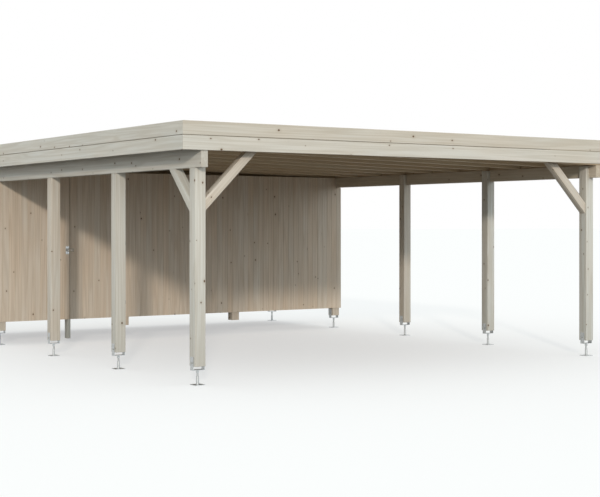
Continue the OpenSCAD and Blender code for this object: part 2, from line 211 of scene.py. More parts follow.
def planed_spruce(name, tints, grain, turn=(0, 0, 0), knot_cell_mm=(150, 420), contrast=1.0):
    """Spruce, planed: pale and matt, with soft streaks along the grain and scattered brown knots.

    The grain runs along one axis, after a turn for slanting timbers. Growth rings are 3 to 5 mm apart
    on the real wood, which is too fine to show from ten metres, so the streaks are drawn 15 to 25 mm wide.
    An attribute gives each timber or board a tone and a stretch of wood of its own.
    """
    found = bpy.data.materials.get(name)
    if found:
        return found
    pale, warm, late, knot_tint = tints
    material, shader = new_material(name)
    streak_mm, streak_run_mm = 18, 900
    streak_span, streak_depth = (0.42, 0.72), 0.55
    figure_mm, figure_run_mm, figure_rings = 110, 2400, 5
    figure_span, figure_depth = (0.1, 1), 0.4
    slow_mm, slow_span = 700, (0.3, 0.7)
    knot_across_mm, knot_along_mm = knot_cell_mm
    knot_r_mm, knot_r_least_mm = (4, 12), 0.01
    knot_shorter = 0.75
    knotless = 0.35
    knot_rim = (0.55, 1.1)
    halo_rim, halo_depth = (0.9, 3.5), 0.35
    sawn_span, sawn_depth = (0.6, 0.8), 0.25
    face_shift = 3.7
    board_shift = (31.0, 17.0, 43.0)
    bump_strength, bump_m = 0.35, 0.0006
    lines_full, roughness = 0.6, (0.58, 0.72)
    order = {X: "XYZ", Y: "YZX", Z: "ZXY"}[grain]

    source = add_node(material, "TexCoord").outputs
    spot = add_node(material, "Mapping", {"Vector": source["Object"], "Rotation": turn}).outputs[0]
    tone = add_node(material, "Attribute", attribute_name="board_tone").outputs["Fac"]
    shift = add_node(material, "VectorMath", {0: board_shift, "Scale": tone}, operation="SCALE").outputs[0]
    spot = calculate(material, "ADD", spot, shift, kind="VectorMath")
    facing = add_node(
        material, "Mapping", {"Vector": source["Normal"], "Rotation": turn}, vector_type="VECTOR"
    ).outputs[0]
    facing = calculate(material, "ABSOLUTE", facing, kind="VectorMath")
    places = add_node(material, "SeparateXYZ", {0: spot}).outputs
    faces = add_node(material, "SeparateXYZ", {0: facing}).outputs
    along, side, other = (places[axis] for axis in order)
    end_face, side_face, other_face = (faces[axis] for axis in order)

    # A place on the face itself: across the grain, with each face a stretch of its own, and along it
    turned = calculate(material, "GREATER_THAN", side_face, other_face)
    across = add_node(material, "Mix", {0: turned, 2: side, 3: other}).outputs[0]
    depth = add_node(material, "Mix", {0: turned, 2: other, 3: side}).outputs[0]
    across = calculate(material, "MULTIPLY_ADD", depth, face_shift, across)

    # Knots: one place in each cell of the face, nearly round, and of no size at all in a third of the cells
    flat = add_node(material, "CombineXYZ", {0: across, 1: along}).outputs[0]
    per_cell = (1000 / knot_across_mm, 1000 / knot_along_mm, 0)
    cell = calculate(material, "MULTIPLY", flat, per_cell, kind="VectorMath")
    knots = add_node(material, "TexVoronoi", {"Vector": cell, "Scale": 1}, voronoi_dimensions="2D").outputs
    away = calculate(material, "SUBTRACT", cell, knots["Position"], kind="VectorMath")
    cell_mm = (knot_across_mm, knot_shorter * knot_along_mm, 0)
    away = calculate(material, "MULTIPLY", away, cell_mm, kind="VectorMath")
    away = add_node(material, "VectorMath", {0: away}, operation="LENGTH").outputs["Value"]
    chance = add_node(material, "SeparateColor", {0: knots["Color"]}).outputs[0]
    radius = ranged(material, chance, (knotless, 1), knot_r_mm)
    sound = calculate(material, "GREATER_THAN", chance, knotless)
    radius = calculate(material, "MULTIPLY", radius, sound)
    radius = calculate(material, "MAXIMUM", radius, knot_r_least_mm)
    ratio = calculate(material, "DIVIDE", away, radius)
    knot = ranged(material, ratio, knot_rim, (1, 0), interpolation_type="SMOOTHSTEP")
    halo = ranged(material, ratio, halo_rim, (halo_depth, 0), interpolation_type="SMOOTHSTEP")

    # Streaks and the figure of the rings: noise drawn out along the grain
    def drawn_out(width_mm, run_mm, detail):
        steps = [1000 / width_mm] * 3
        steps[grain] = 1000 / run_mm
        stretched = calculate(material, "MULTIPLY", spot, steps, kind="VectorMath")
        noise = add_node(material, "TexNoise", {"Vector": stretched, "Scale": 1, "Detail": detail})
        return noise.outputs["Fac"]

    streak = drawn_out(streak_mm, streak_run_mm, 3)
    streak = ranged(material, streak, streak_span, (0, streak_depth * contrast))
    figure = drawn_out(figure_mm, figure_run_mm, 1)
    figure = calculate(material, "MULTIPLY", figure, 2 * math.pi * figure_rings)
    figure = calculate(material, "SINE", figure)
    figure = ranged(material, figure, figure_span, (0, figure_depth * contrast))
    lines = calculate(material, "MAXIMUM", streak, figure)

    # The pale and the warm wood take turns, by the board's own tone and slowly along it
    slow = ranged(material, drawn_out(slow_mm / 4, slow_mm, 1), slow_span, (0, 1))
    slow = calculate(material, "ADD", slow, tone)
    slow = calculate(material, "MULTIPLY", slow, 0.5)
    colour = blend_colours(material, slow, pale, warm)
    colour = blend_colours(material, lines, colour, late)
    colour = blend_colours(material, halo, colour, late)
    colour = blend_colours(material, knot, colour, knot_tint)
    sawn = ranged(material, end_face, sawn_span, (0, sawn_depth))
    colour = blend_colours(material, sawn, colour, late)

    height = calculate(material, "ADD", lines, knot)
    bump = add_node(material, "Bump", {"Height": height, "Strength": bump_strength, "Distance": bump_m})
    rough = ranged(material, lines, (0, lines_full), roughness)
    set_inputs(material, shader, {"Base Color": colour, "Normal": bump.outputs[0], "Roughness": rough})
    set_inputs(material, shader, {"IOR": 1.5, "Specular IOR Level": 0.3})
    return material


def hot_dip_zinc(name, tint, spangle_mm, dull):
    """Steel, hot-dip galvanised: a pale grey metal whose crystals, the spangle, differ a little in tone."""
    found = bpy.data.materials.get(name)
    if found:
        return found
    material, shader = new_material(name)
    darker, darker_share = 0.6, 0.35
    dull_swing = 0.08
    source = add_node(material, "TexCoord").outputs
    spangle = add_node(material, "TexVoronoi", {"Vector": source["Object"], "Scale": 1000 / spangle_mm})
    chance = add_node(material, "SeparateColor", {0: spangle.outputs["Color"]}).outputs[0]
    share = ranged(material, chance, (0, 1), (0, darker_share))
    colour = blend_colours(material, share, tint, [c * darker for c in tint])
    rough = ranged(material, chance, (0, 1), (dull - dull_swing, dull + dull_swing))
    set_inputs(material, shader, {"Base Color": colour, "Roughness": rough, "Metallic": 1.0})
    return material


def mineral_felt(name, tint):
    """Bitumen felt, surfaced with slate grit: dark, dead matt and speckled.

    The grit is 1 to 2 mm, too fine to show, so it is drawn at 8 mm.
    """
    found = bpy.data.materials.get(name)
    if found:
        return found
    material, shader = new_material(name)
    grit_mm = 8
    grit_m = 0.001
    patch_mm = 900
    tone_share = 0.4
    source = add_node(material, "TexCoord").outputs
    grit = add_node(material, "TexVoronoi", {"Vector": source["Object"], "Scale": 1000 / grit_mm}).outputs
    chance = add_node(material, "SeparateColor", {0: grit["Color"]}).outputs[0]
    patch = add_node(
        material, "TexNoise", {"Vector": source["Object"], "Scale": 1000 / patch_mm, "Detail": 4}
    ).outputs["Fac"]
    tone = add_node(material, "Attribute", attribute_name="board_tone").outputs["Fac"]
    worn = calculate(material, "MULTIPLY_ADD", tone, tone_share, patch)
    share = calculate(material, "MULTIPLY", chance, worn)
    dark, light = ([min(1, c * change) for c in tint] for change in (0.5, 1.3))
    colour = blend_colours(material, share, dark, light)
    bump = add_node(material, "Bump", {"Height": chance, "Strength": 0.6, "Distance": grit_m})
    set_inputs(material, shader, {"Base Color": colour, "Normal": bump.outputs[0], "Roughness": 0.95})
    return material


def seen_directly(material, path):
    """Output that is 1 to the camera, in gloss and through glass, and 0 in other light."""
    direct = calculate(material, "MAXIMUM", path["Is Camera Ray"], path["Is Glossy Ray"])
    return calculate(material, "MAXIMUM", direct, path["Is Transmission Ray"])


def pale_floor(name, seen, bounce):
    """A plain studio floor: pale to the camera, with its shadows, and duller in the light it throws back."""
    material = bpy.data.materials.new(name)
    material.use_nodes = True
    material.node_tree.nodes.clear()
    own_light = 0.5
    direct = seen_directly(material, add_node(material, "LightPath").outputs)
    shown = add_node(material, "BsdfDiffuse", {"Color": (*seen, 1)}).outputs[0]
    white = add_node(material, "Emission", {"Color": (1, 1, 1, 1), "Strength": 1.0}).outputs[0]
    shown = add_node(material, "MixShader", {0: own_light, 1: shown, 2: white}).outputs[0]
    thrown = add_node(material, "BsdfDiffuse", {"Color": (*bounce, 1)}).outputs[0]
    mixed = add_node(material, "MixShader", {0: direct, 1: thrown, 2: shown}).outputs[0]
    add_node(material, "OutputMaterial", {"Surface": mixed})
    return material


def tints_of(context, timber):
    """Early, warm and late wood and knots of a timber, which is spruce, wall or roof."""
    colours = context.scene.carport_colours
    return [*(getattr(colours, f"{timber}_{part}") for part in ("pale", "warm", "grain")), colours.knot]


def between(first, second):
    """Tints half-way between those of two timbers."""
    return [[(one + other) / 2 for one, other in zip(*pair)] for pair in zip(first, second)]


def dipped_steel(context):
    """Galvanised steel of the feet and their welds."""
    return hot_dip_zinc("hot_dip_zinc", context.scene.carport_colours.zinc, spangle_mm=9, dull=0.45)


def plated_steel(context):
    """Zinc-plated steel of the bolts and screws: finer and brighter than the dipped feet."""
    return hot_dip_zinc("plated_steel", context.scene.carport_colours.plated, spangle_mm=3, dull=0.35)


def dress(names, material):
    """Gives frame nodes a material."""
    for name in names:
        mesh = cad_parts[name].data
        mesh.materials.clear()
        mesh.materials.append(material)


def along_axis(axis, length=1):
    """A vector along one axis."""
    way = Vector((0, 0, 0))
    way[axis] = length
    return way


def select_only(objects):
    """Object mode with only these objects selected, the first one active."""
    bpy.ops.object.select_all(action="DESELECT")
    for obj in objects:
        obj.select_set(True)
    bpy.context.view_layer.objects.active = objects[0]


def settle():
    """Puts the active object's place, turn and scale into its mesh."""
    bpy.ops.object.transform_apply(location=True, rotation=True, scale=True)


def pick(obj, kind, wanted):
    """Edit mode with only the faces or edges selected that pass a test on their middle and direction."""
    mesh = obj.data
    select_only([obj])
    bpy.ops.object.mode_set(mode="EDIT")
    bpy.ops.mesh.select_mode(type=kind)
    bpy.ops.mesh.select_all(action="DESELECT")
    bpy.ops.object.mode_set(mode="OBJECT")
    if kind == "FACE":
        for face in mesh.polygons:
            face.select = wanted(face.center, face.normal)
    else:
        for edge in mesh.edges:
            start, end = (mesh.vertices[i].co for i in edge.vertices)
            edge.select = wanted((start + end) / 2, (end - start).normalized())
    bpy.ops.object.mode_set(mode="EDIT")


def edit_all(obj):
    """Edit mode on one object, with all of it selected."""
    select_only([obj])
    bpy.ops.object.mode_set(mode="EDIT")
    bpy.ops.mesh.select_all(action="SELECT")


def leave_edit():
    """Back to object mode."""
    bpy.ops.object.mode_set(mode="OBJECT")


def bevel_edges(obj, wanted, offset, segments):
    """Bevels the edges that pass a test on their middle and direction."""
    pick(obj, "EDGE", wanted)
    bpy.ops.mesh.bevel(offset=offset, segments=segments, affect="EDGES")
    leave_edit()


def add_block(name, low, high):
    """A box between two corners, its place in its mesh."""
    low = Vector(low)
    high = Vector(high)
    bpy.ops.object.select_all(action="DESELECT")
    bpy.ops.mesh.primitive_cube_add(size=1, location=(low + high) / 2, scale=high - low)
    block = bpy.context.object
    block.name = name
    settle()
    return block


def apply_modifier(obj, kind, **settings):
    """Adds a modifier, sets it and applies it."""
    select_only([obj])
    modifier = obj.modifiers.new(kind.lower(), kind)
    for name, value in settings.items():
        setattr(modifier, name, value)
    bpy.ops.object.modifier_apply(modifier=modifier.name)


def repeat(obj, count, step):
    """Copies of a piece in a row, all in its own mesh."""
    settings = {"use_relative_offset": False, "use_constant_offset": True, "constant_offset_displace": step}
    apply_modifier(obj, "ARRAY", count=count, **settings)


def trim(obj, place, normal):
    """Cuts off and closes what lies beyond a plane."""
    edit_all(obj)
    bpy.ops.mesh.bisect(plane_co=place, plane_no=normal, use_fill=True, clear_outer=True)
    leave_edit()


def tongued_board(name, low, high, across, length, sizes):
    """One board with bevelled long edges, a tongue on one side and a groove on the other."""
    shoulder = 0.3
    groove_shoulder, groove_depth = 0.9, 1.05
    board = add_block(name, low, high)
    bevel_edges(board, lambda middle, way: abs(way[length]) > ALONG, sizes.joint, 1)
    edge = (min(high[i] - low[i] for i in range(3)) - 2 * sizes.joint) * shoulder
    reach = along_axis(across, sizes.tongue)
    for side, narrower, deeper in ((1, 1, 1), (-1, groove_shoulder, groove_depth)):
        pick(board, "FACE", lambda middle, way, side=side: way[across] * side > ALONG)
        bpy.ops.mesh.inset(thickness=edge * narrower, use_even_offset=True)
        bpy.ops.mesh.extrude_region_move(TRANSFORM_OT_translate={"value": reach * deeper})
        leave_edit()
    return board


def board_row(name, box, across, length, cover, first, sizes, shade):
    """Tongued boards side by side that fill a box, each with a tone of its own."""
    low, high = (Vector(corner) for corner in box)
    hairline = 0.0003
    count = math.ceil((high[across] - first) / cover)
    start = low.copy()
    end = high.copy()
    start[across] = first
    end[across] = first + cover - hairline
    row = tongued_board(name, start, end, across, length, sizes)
    repeat(row, count, along_axis(across, cover))
    out = along_axis(across)
    trim(row, low, -out)
    trim(row, high, out)
    mark_tones(row, shade, lambda centre: int((centre[across] - first) / cover))
    return row


def mark_tones(obj, shade, number):
    """Gives each timber or board of an object a random tone, by a number worked out from a face's middle."""
    marks = obj.data.attributes.new("board_tone", "FLOAT", "FACE")
    for face, mark in zip(obj.data.polygons, marks.data):
        mark.value = random.Random(shade * 1000 + number(face.center)).random()


def eased(node, width, shade, number=lambda centre: 0):
    """A copy of a frame node's timbers with their edges eased, each timber with a tone of its own."""
    piece = bpy.data.objects.new(f"{node}_eased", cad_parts[node].data.copy())
    bpy.context.collection.objects.link(piece)
    flat, sharp, smooth = (math.radians(degrees) for degrees in (0.5, 30, 35))
    edit_all(piece)
    bpy.ops.mesh.remove_doubles(threshold=SAME_POINT)
    bpy.ops.mesh.dissolve_limited(angle_limit=flat)
    leave_edit()
    apply_modifier(piece, "BEVEL", width=width, segments=2, limit_method="ANGLE", angle_limit=sharp)
    bpy.ops.object.shade_smooth_by_angle(angle=smooth)
    mark_tones(piece, shade, number)
    return piece


def cut_round_beams(row, sizes):
    """Cuts boards away round the two long beams."""
    reach = 0.1
    for side in SIDES:
        low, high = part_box(f"{side}_beam")
        row_low, row_high = (Vector(c) for c in (row.bound_box[0], row.bound_box[6]))
        cut_low = Vector((low.x - sizes.beam_gap, row_low.y - reach, low.z - sizes.beam_gap))
        cut_high = Vector((high.x + sizes.beam_gap, row_high.y + reach, row_high.z + reach))
        if side == "left":
            cut_low.x = low.x - reach
        else:
            cut_high.x = high.x + reach
        cutter = add_block("beam_cutter", cut_low, cut_high)
        apply_modifier(row, "BOOLEAN", operation="DIFFERENCE", solver="EXACT", object=cutter)
        bpy.data.objects.remove(cutter)


def seat(piece, body, material, slot, *nodes):
    """Finishes a new piece: its material, its body and the frame nodes that it stands for. The slot is not
    used.
    """
    piece.data.materials.clear()
    piece.data.materials.append(material)
    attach(piece, body)
    if nodes:
        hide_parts(*nodes)


def copies(source, name, places):
    """Copies of one modelled piece, each with its own mesh, joined into one object."""
    made = []
    for place in places:
        copy = source.copy()
        copy.data = source.data.copy()
        bpy.context.collection.objects.link(copy)
        copy.location = place
        made.append(copy)
    bpy.data.objects.remove(source)
    select_only(made)
    settle()
    return gather(name, made)


def gather(name, parts):
    """Several objects joined into one."""
    select_only(parts)
    bpy.ops.object.join()
    joined = bpy.context.object
    joined.name = name
    return joined


def turned_disc(name, radius, depth, bevel, corners):
    """A disc or prism on the plane Z = 0 with its upper rim bevelled."""
    upper = depth * 0.99
    middle = (0, 0, depth / 2)
    bpy.ops.object.select_all(action="DESELECT")
    bpy.ops.mesh.primitive_cylinder_add(vertices=corners, radius=radius, depth=depth, location=middle)
    disc = bpy.context.object
    disc.name = name
    settle()
    bevel_edges(disc, lambda middle, way: middle.z > upper, bevel, 2)
    return disc


def point_along(obj, axis, side):
    """Turns a piece that stands on Z = 0 so that it points along an axis, to one side."""
    obj.rotation_euler = along_axis(Z).rotation_difference(along_axis(axis, side)).to_euler()
    select_only([obj])
    settle()


def screw_head(radius, axis, side):
    """A pan-head screw seen from outside: a rounded head with a driver's recess."""
    depth, bevel, rim, recess = (radius * share for share in (0.6, 0.3, 0.35, 0.3))
    level = 0.99
    head = turned_disc("screw_head", radius, depth, bevel, 12)
    pick(head, "FACE", lambda middle, way: way.z > level)
    bpy.ops.mesh.inset(thickness=rim)
    bpy.ops.mesh.extrude_region_move(TRANSFORM_OT_translate={"value": (0, 0, -recess)})
    leave_edit()
    point_along(head, axis, side)
    return head


def foot_centres():
    """Middle of each foot on the ground."""
    centres = {}
    for side in SIDES:
        for row in ROWS:
            low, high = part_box(f"{side}_post_{row}")
            centres[side, row] = Vector(((low.x + high.x) / 2, (low.y + high.y) / 2, 0))
    return centres


class CARPORT_OT_timber_frame(bpy.types.Operator):
    """Ease the edges of posts, beams, braces and rafters, and finish them and the rails as planed spruce"""

    bl_idname = "carport.timber_frame"
    bl_label = "Timber frame"

    def execute(self, context):
        sizes = context.scene.carport_sizes
        tints, wall, roof = (tints_of(context, timber) for timber in ("spruce", "wall", "roof"))
        warmer = between(tints, wall)
        front_rows = 2
        upright = planed_spruce("planed_spruce_upright", tints, Z)
        wall_upright = planed_spruce("planed_spruce_wall_upright", wall, Z)
        lengthwise = planed_spruce("planed_spruce_lengthwise", tints, Y)
        crosswise = planed_spruce("planed_spruce_crosswise", tints, X)
        # The posts behind the front rows stand under the roof and take warmer tints, half-way to the wall's:
        # painted warm shade
        shaded_upright = planed_spruce("planed_spruce_shaded_upright", warmer, Z)
        finishes = {}
        for side in SIDES:
            for row in ROWS:
                finishes[f"{side}_post_{row}"] = upright if row <= front_rows else shaded_upright
        for end in ("front", "back"):
            for side in SIDES:
                finishes[f"{end}_wall_post_{side}"] = wall_upright
        finishes["door_jamb"] = upright
        finishes["left_beam"] = lengthwise
        # The right beam takes tints half-way to the roof's, darker than the left beam's: painted shade on its
        # inner face, which lies in shade under the roof
        finishes["right_beam"] = planed_spruce("planed_spruce_right_beam", between(tints, roof), Y)
        half_right = math.pi / 4
        slants = {
            "left_front_brace": (0, half_right, 0),
            "right_front_brace": (0, -half_right, 0),
            "left_side_brace": (-half_right, 0, 0),
            "right_side_brace": (-half_right, 0, 0),
        }
        for node, turn in slants.items():
            wood = tints if turn[0] else warmer
            finishes[node] = planed_spruce(f"planed_spruce_{node}", wood, Y if turn[0] else X, turn)
        for shade, (node, material) in enumerate(finishes.items(), sizes.seed):
            seat(eased(node, sizes.arris, shade), "frame", material, "timber", node)
        tone_step, tone_start = 0.2, 50
        rafters = eased(
            "rafters", sizes.arris, sizes.seed, lambda centre: round(centre.y / tone_step) + tone_start
        )
        # Rafters and edge battens take the roof's darker, warmer tints: partly painted warm shade under the
        # roof
        shaded_underside = planed_spruce("shaded_roof_spruce_crosswise", roof, X, knot_cell_mm=(300, 1100), contrast=0.3)
        seat(rafters, "frame", shaded_underside, "roof_timber", "rafters")
        dress(["edge_battens"], planed_spruce("shaded_roof_spruce_lengthwise", roof, Y))
        dress(["wall_rails", "door_ledges"], crosswise)
        dress(["door_braces"], planed_spruce("planed_spruce_door_braces", tints, X, (0, -half_right, 0)))
        return {"FINISHED"}


class CARPORT_OT_fascia_boards(bpy.types.Operator):
    """Put the fascia round the roof: two boards, one over the other, mitred at the corners"""

    bl_idname = "carport.fascia_boards"
    bl_label = "Fascia boards"

    def execute(self, context):
        sizes = context.scene.carport_sizes
        tints = tints_of(context, "spruce")
        upper_tints = between(tints, between(tints, tints_of(context, "roof")))
        for level, lift, level_shade in (("upper", sizes.fascia_joint, 132), ("lower", 0, 123)):
            low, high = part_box(f"end_{level}_fascia")
            low += Vector((sizes.screw_proud, sizes.screw_proud, lift))
            high -= Vector((sizes.screw_proud, sizes.screw_proud, 0))
            for kind, out, along in (("end", Y, X), ("side", X, Y)):
                node = f"{kind}_{level}_fascia"
                boards = [self.board(node, low, high, out, along, side, sizes) for side in (-1, 1)]
                pair = gather(f"{node}_boards", boards)
                name = "planed_spruce_crosswise" if along == X else "planed_spruce_lengthwise"
                wood = planed_spruce(name, tints, along)
                if node == "end_upper_fascia":
                    wood = planed_spruce("planed_spruce_upper_crosswise", upper_tints, along)
                shade = sizes.seed + 4 * out + level_shade
                mark_tones(pair, shade, lambda centre, out=out: int(centre[out] > 0))
                seat(pair, "frame", wood, "timber", node)
        return {"FINISHED"}

    def board(self, node, low, high, out, along, side, sizes):
        """One board, its outer long edges bevelled and its ends cut to a mitre with a hairline left open."""
        hairline = 0.0002
        edge = 0.003
        near = 0.001
        thick = sizes.fascia_t - sizes.screw_proud
        start = low.copy()
        end = high.copy()
        if side < 0:
            end[out] = low[out] + thick
        else:
            start[out] = high[out] - thick
        face = start[out] if side < 0 else end[out]
        board = add_block(node, start, end)
        bevel_edges(
            board, lambda middle, way: abs(way[along]) > ALONG and abs(middle[out] - face) < near, edge, 2
        )
        for tip_side, corner in ((-1, low), (1, high)):
            place = along_axis(out, face) + along_axis(along, corner[along] - tip_side * hairline)
            place.z = low.z
            trim(board, place, along_axis(along, tip_side) - along_axis(out, side))
        return board


class CARPORT_OT_steel_fittings(bpy.types.Operator):
    """Finish the feet, hinges and hasp as hot-dip galvanised steel"""

    bl_idname = "carport.steel_fittings"
    bl_label = "Steel fittings"

    def execute(self, context):
        feet = [f"{side}_foot_{part}" for side in SIDES for part in ("bases", "brackets")]
        dress([*feet, "hasp_staple"], dipped_steel(context))
        # Hinges and strap take a dull, brownish zinc: partly weathering, partly painted shade
        tint = context.scene.carport_colours.shaded_weathered
        shaded_weathered = hot_dip_zinc("shaded_weathered_zinc", tint, spangle_mm=5, dull=0.6)
        dress(["hinge_pins", "hinge_leaves", "hasp_strap"], shaded_weathered)
        return {"FINISHED"}


class CARPORT_OT_wall_boards(bpy.types.Operator):
    """Board the store's walls and its door with tongued spruce boards"""

    bl_idname = "carport.wall_boards"
    bl_label = "Wall boards"

    def execute(self, context):
        sizes = context.scene.carport_sizes
        tints = tints_of(context, "wall")
        material = planed_spruce("planed_spruce_boards", tints, Z, knot_cell_mm=(190, 640))
        cover = sizes.wall_cover
        walls = ["front_wall_left", "front_wall_right", "back_wall", "left_wall", "right_wall", "door_boards"]
        for shade, node in enumerate(walls, sizes.seed):
            low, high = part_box(node)
            across = X if high.x - low.x > high.y - low.y else Y
            if node == "door_boards":
                low.x += sizes.door_gap
                high.x -= sizes.door_gap
            # A board lies over the middle of the carport, and the others follow from it
            first = (math.floor(low[across] / cover - 0.5) + 0.5) * cover
            row = board_row(f"{node}_row", (low, high), across, Z, cover, first, sizes, shade)
            if node in ("front_wall_left", "front_wall_right", "back_wall"):
                cut_round_beams(row, sizes)
            body = "door" if node == "door_boards" else "frame"
            seat(row, body, material, "timber", node)
        return {"FINISHED"}


class CARPORT_OT_roof_boards(bpy.types.Operator):
    """Lay the roof boards on the rafters"""

    bl_idname = "carport.roof_boards"
    bl_label = "Roof boards"

    def execute(self, context):
        sizes = context.scene.carport_sizes
        low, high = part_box("roof_boards")
        thick, rise = roof_fall(low, high)
        middle = (low.z + high.z) / 2
        box = (Vector((low.x, low.y, middle - thick / 2)), Vector((high.x, high.y, middle + thick / 2)))
        first = low.x - sizes.roof_cover / 2
        row = board_row("roof_board_row", box, X, Y, sizes.roof_cover, first, sizes, sizes.seed)
        tip(row, (0, 0, middle), rise)
        # The boards take the roof's darker, warmer tints: partly painted warm shade on their underside
        material = planed_spruce("shaded_roof_spruce_boards", tints_of(context, "roof"), Y, contrast=0.6)
        seat(row, "frame", material, "roof_timber", "roof_boards")
        return {"FINISHED"}


def roof_fall(low, high):
    """Thickness of the roof boards, and the roof's fall as an angle, from the box of the boards."""
    thick = 0.019
    return thick, math.atan((high.z - low.z - thick) / (high.x - low.x))


def tip(obj, place, angle):
    """Tips an object about a line through a place along the carport."""
    bpy.context.scene.cursor.location = place
    select_only([obj])
    bpy.ops.object.origin_set(type="ORIGIN_CURSOR")
    obj.rotation_euler = (0, angle, 0)
    settle()
    bpy.context.scene.cursor.location = (0, 0, 0)


class CARPORT_OT_rafter_blocking(bpy.types.Operator):
    """Close the gaps between the rafters over the low beam with short boards"""

    bl_idname = "carport.rafter_blocking"
    bl_label = "Rafter blocking"

    def execute(self, context):
        sizes = context.scene.carport_sizes
        thick = 0.02
        room = 0.0005
        tone_step, tone_start = 0.3, 50
        beam_low, beam_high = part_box("right_beam")
        rafter_low, rafter_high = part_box("rafters")
        rise = roof_fall(*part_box("roof_boards"))[1]
        inner = beam_low.x + thick
        outer = inner + thick
        top = rafter_high.z - (outer - rafter_low.x) * math.tan(rise) - room
        edges = sorted({round(vertex.co.y, 4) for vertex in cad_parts["rafters"].data.vertices})
        blocks = []
        for start, end in zip(edges[1::2], edges[2::2]):
            block = add_block("block", (inner, start + room, beam_high.z), (outer, end - room, top))
            bevel_edges(block, lambda middle, way: abs(way.y) > ALONG, sizes.arris, 1)
            blocks.append(block)
        blocking = gather("rafter_blocking", blocks)
        mark_tones(blocking, sizes.seed, lambda centre: round(centre.y / tone_step) + tone_start)
        # The blocking takes the roof's darker, warmer tints: partly painted warm shade under the roof
        wood = planed_spruce("shaded_roof_spruce_lengthwise", tints_of(context, "roof"), Y)
        seat(blocking, "frame", wood, "roof_timber")
        return {"FINISHED"}


class CARPORT_OT_roof_felt(bpy.types.Operator):
    """Lay lapped strips of felt on the roof boards"""

    bl_idname = "carport.roof_felt"
    bl_label = "Roof felt"

    def execute(self, context):
        sizes = context.scene.carport_sizes
        low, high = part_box("roof_felt")
        rise = roof_fall(*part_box("roof_boards"))[1]
        thick = 0.0018
        middle = (low.z + high.z) / 2
        wide = sizes.felt_cover + sizes.felt_lap
        edge, rounding = thick * 0.4, 0.01
        # Strips from the low side up, each one's lower edge on the strip below, half-way up the felt's layer
        first = Vector((high.x - wide, low.y, middle))
        row = add_block("felt_strips", first, first + Vector((wide, high.y - low.y, thick)))
        upper = middle + thick / 2
        bevel_edges(row, lambda centre, way: abs(way.y) > ALONG and centre.z > upper, edge, 2)
        tip(row, (high.x, 0, middle), -math.atan(thick / sizes.felt_cover))
        count = math.ceil((high.x - low.x - sizes.felt_lap) / sizes.felt_cover)
        repeat(row, count, (-sizes.felt_cover, 0, 0))
        trim(row, low, (-1, 0, 0))
        mark_tones(row, sizes.seed, lambda centre: int((high.x - centre.x) / sizes.felt_cover + rounding))
        tip(row, (0, 0, middle), rise)
        grit = mineral_felt("mineral_felt", context.scene.carport_colours.felt)
        seat(row, "frame", grit, "felt", "roof_felt")
        return {"FINISHED"}


class CARPORT_OT_foot_bolts(bpy.types.Operator):
    """Bolt the posts into their feet"""

    bl_idname = "carport.foot_bolts"
    bl_label = "Foot bolts"

    def execute(self, context):
        flats = context.scene.carport_sizes.bolt_flats
        bolt_z = 0.22
        # Radius, depth and bevel as shares of the width across the flats, and the number of corners
        shapes = {
            "washer": (0.62, 0.12, 0.03, 20),
            "head": (1 / math.sqrt(3), 0.42, 0.07, 6),
            "tip": (0.3, 0.75, 0.06, 16),
        }

        def shaped(name):
            *shares, corners = shapes[name]
            return turned_disc(name, *(flats * share for share in shares), corners)

        groups = []
        for side, outward in zip(SIDES, (-1, 1)):
            low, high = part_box(f"{side}_foot_brackets")
            feet = [foot for (foot_side, _), foot in foot_centres().items() if foot_side == side]
            for way, cheek in ((-1, low.x), (1, high.x)):
                parts = [shaped("washer"), shaped("head")]
                parts[1].location.z = flats * shapes["washer"][1]
                if way != outward:
                    parts.append(shaped("tip"))
                end = gather("bolt_end", parts)
                settle()
                point_along(end, X, way)
                places = [Vector((cheek, foot.y, bolt_z)) for foot in feet]
                groups.append(copies(end, "bolt_ends", places))
        bolts = gather("foot_bolts", groups)
        seat(bolts, "frame", plated_steel(context), "zinc")
        return {"FINISHED"}


class CARPORT_OT_spindle_threads(bpy.types.Operator):
    """Cut the thread on the feet's spindles"""

    bl_idname = "carport.spindle_threads"
    bl_label = "Spindle threads"

    def execute(self, context):
        pitch = context.scene.carport_sizes.thread_pitch
        tube_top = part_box("left_foot_bases")[1].z
        plate_under = 0.148
        spindle_r = 0.01
        ridge = 0.00144
        steps = 16
        start = (spindle_r, 0, tube_top - pitch)
        bpy.ops.object.select_all(action="DESELECT")
        bpy.ops.mesh.primitive_circle_add(vertices=3, radius=ridge, location=start)
        thread = bpy.context.object
        thread.name = "thread"
        thread.rotation_euler = (math.pi / 2, 0, 0)
        settle()
        turns = int((plate_under - tube_top) / pitch)
        settings = {"steps": steps, "render_steps": steps, "use_smooth_shade": False}
        apply_modifier(thread, "SCREW", axis="Z", screw_offset=pitch, iterations=turns, **settings)
        edit_all(thread)
        bpy.ops.mesh.remove_doubles(threshold=SAME_POINT)
        bpy.ops.mesh.fill_holes(sides=3)
        bpy.ops.mesh.normals_make_consistent(inside=False)
        leave_edit()
        threads = copies(thread, "spindle_threads", foot_centres().values())
        seat(threads, "frame", dipped_steel(context), "zinc")
        return {"FINISHED"}


class CARPORT_OT_tube_welds(bpy.types.Operator):
    """Weld the feet's tubes to their plates"""

    bl_idname = "carport.tube_welds"
    bl_label = "Tube welds"

    def execute(self, context):
        plate_t = 0.006
        tube_r = 0.015
        bead = 0.0032
        uneven = bead * 0.12
        bpy.ops.object.select_all(action="DESELECT")
        bpy.ops.mesh.primitive_torus_add(
            location=(0, 0, plate_t), major_radius=tube_r, minor_radius=bead,
            major_segments=36, minor_segments=8,
        )
        weld = bpy.context.object
        settle()
        edit_all(weld)
        bpy.ops.transform.vertex_random(offset=uneven, seed=context.scene.carport_sizes.seed)
        leave_edit()
        bpy.ops.object.shade_smooth()
        welds = copies(weld, "tube_welds", foot_centres().values())
        seat(welds, "frame", dipped_steel(context), "zinc")
        return {"FINISHED"}


